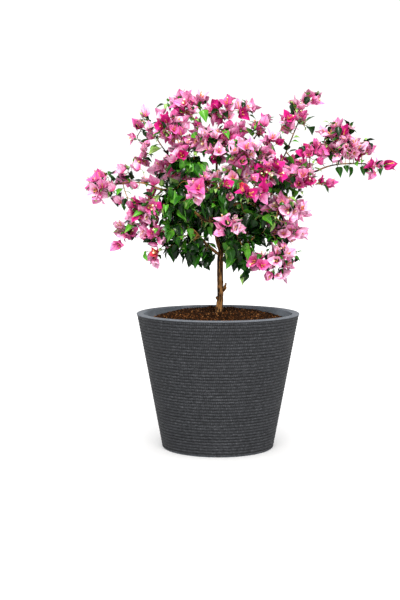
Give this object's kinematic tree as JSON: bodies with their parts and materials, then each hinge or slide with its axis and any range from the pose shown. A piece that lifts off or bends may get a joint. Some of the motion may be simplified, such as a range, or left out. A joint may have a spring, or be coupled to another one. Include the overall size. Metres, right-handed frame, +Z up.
{
  "type": "potted bougainvillea standard",
  "caption": "Flowering bougainvillea trained on one short trunk, in a tapered round planter with fine ribs, filled with potting mix.",
  "frame": {"origin": "middle of the planter's flat underside", "axes": "+Z straight up through the trunk; -Y towards the viewer of the plant's front, +X to that viewer's right"},
  "size_m": [0.7286, 0.4536, 0.8758],
  "materials": {
    "pot_plastic": "matte, dark anthracite, speckled",
    "potting_mix": "rough, moist and crumbly",
    "bark": "rough, peeling in long strips",
    "bloom": "papery and thin",
    "leaf": "satin, waxy"
  },
  "bodies": {
    "root": {"pot": "pot_plastic", "potting_mix": "potting_mix", "trunk": "bark", "bloom_top_left_low": "bloom", "bloom_top_left_high": "bloom", "bloom_top_middle": "bloom", "bloom_upper_centre": "bloom", "bloom_right_peak": "bloom", "bloom_centre": "bloom", "bloom_centre_right": "bloom", "bloom_right_middle": "bloom", "bloom_shoot_low": "bloom", "bloom_shoot_side": "bloom", "bloom_shoot_tip": "bloom", "bloom_spray_inner": "bloom", "bloom_spray_outer": "bloom", "bloom_spray_tip": "bloom", "bloom_right_shelf": "bloom", "bloom_right_lower": "bloom", "bloom_right_foot": "bloom", "bloom_lower_centre": "bloom", "bloom_inner_left": "bloom", "bloom_front_left": "bloom", "bloom_front_centre": "bloom", "bloom_front_right": "bloom", "bloom_left_shelf": "bloom", "bloom_left_single": "bloom", "bloom_left_tip": "bloom", "bloom_left_middle": "bloom", "bloom_left_lower": "bloom", "bloom_left_lower_inner": "bloom", "bloom_left_high": "bloom", "bloom_left_upper": "bloom", "bloom_back_top": "bloom", "bloom_back_left": "bloom", "bloom_back_right": "bloom", "bloom_back_middle": "bloom", "leaves_upper_left": "leaf", "leaves_left": "leaf", "leaves_left_low": "leaf", "leaves_lower_left": "leaf", "leaves_centre": "leaf", "leaves_right_upper": "leaf", "leaves_right": "leaf", "leaves_lower_right": "leaf", "leaves_back_left": "leaf", "leaves_back_right": "leaf", "leaves_back_low": "leaf", "leader": "bark", "bough_low_left": "bark", "bough_left": "bark", "bough_upper_left": "bark", "bough_upper_right": "bark", "bough_right": "bark", "bough_low_right": "bark", "bough_back": "bark", "stem_high_left": "bark", "stem_left_tip": "bark", "stem_shoot": "bark", "stem_spray": "bark"}
  },
  "joints": []
}
